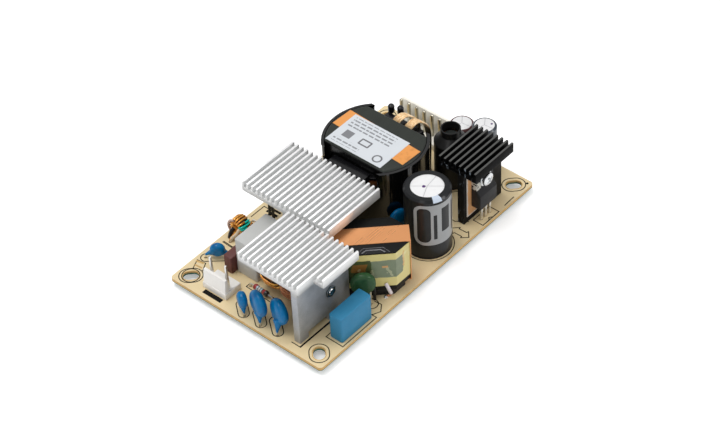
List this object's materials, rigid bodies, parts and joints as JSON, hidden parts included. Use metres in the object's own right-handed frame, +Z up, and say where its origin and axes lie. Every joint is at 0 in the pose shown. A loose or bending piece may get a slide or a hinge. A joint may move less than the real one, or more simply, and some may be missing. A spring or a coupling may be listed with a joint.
{
  "type": "open frame power supply",
  "caption": "Open frame power supply: printed board with finned heatsinks, wound transformer, chokes, capacitors, mains inlet pins and an output header.",
  "frame": {"origin": "centre of the board's underside", "axes": "+X along the board from the mains inlet to the output header, +Y to the rear edge, +Z up"},
  "size_m": [0.127, 0.0762, 0.034],
  "materials": {
    "board": "satin",
    "solder": "satin",
    "chip": "matte",
    "white_nylon": "satin",
    "cream_nylon": "satin",
    "tin": "satin",
    "fuse_plastic": "satin",
    "grey_plastic": "satin",
    "blue_plastic": "satin",
    "blue_coating": "gloss",
    "green_coating": "satin",
    "resistor_body": "satin",
    "choke_wire": "gloss",
    "ferrite": "matte",
    "copper": "satin",
    "yellow_tape": "gloss",
    "orange_tape": "satin",
    "black_plastic": "gloss",
    "black_sleeve": "satin",
    "label": "matte",
    "silver": "satin",
    "black_metal": "satin",
    "can": "satin",
    "dark_sleeve": "gloss",
    "brown_sleeve": "gloss",
    "screw": "polished",
    "pad": "matte"
  },
  "bodies": {
    "root": {"inlet_housing": "white_nylon", "inlet_pins": "tin", "fuse_case": "fuse_plastic", "x_capacitor_case": "grey_plastic", "film_capacitor_case": "blue_plastic", "part_leads": "tin", "inlet_disc": "blue_coating", "line_discs": "blue_coating", "snubber_disc": "blue_coating", "disc_leads": "tin", "discharge_resistor": "resistor_body", "resistor_leads": "tin", "small_choke_core": "ferrite", "small_choke_winding": "choke_wire", "line_choke_cores": "ferrite", "line_choke_windings": "choke_wire", "choke_leads": "copper", "front_heatsink": "silver", "bridge_rectifier": "black_plastic", "bridge_nut": "screw", "thermistor_disc": "green_coating", "thermistor_leads": "tin", "boost_core": "ferrite", "boost_winding": "copper", "boost_bobbin": "black_plastic", "boost_foot": "black_plastic", "boost_tape": "yellow_tape", "boost_band": "copper", "bobbin_pins": "tin", "bulk_capacitor_can": "can", "bulk_capacitor_sleeve": "dark_sleeve", "brown_capacitor": "brown_sleeve", "dark_capacitor": "dark_sleeve", "transformer_core": "ferrite", "transformer_bobbin": "black_plastic", "transformer_winding": "copper", "transformer_wrap": "black_plastic", "transformer_tape": "orange_tape", "transformer_label": "label", "transformer_litz": "copper", "transformer_sleeves": "black_sleeve", "rear_heatsink": "silver", "rear_devices": "black_plastic", "device_leads": "tin", "device_screws": "screw", "black_heatsink": "black_metal", "insulating_pad": "pad", "power_transistor": "black_plastic", "transistor_washer": "screw", "transistor_screw": "screw", "output_choke_winding": "copper", "output_choke_rod": "ferrite", "output_choke_sleeve": "black_sleeve", "output_housing": "cream_nylon", "output_pins": "tin", "temperature_sensor": "black_sleeve", "wire_link": "tin", "circuit_board": "board", "solder_joints": "solder", "underside_chips": "chip"}
  },
  "joints": []
}
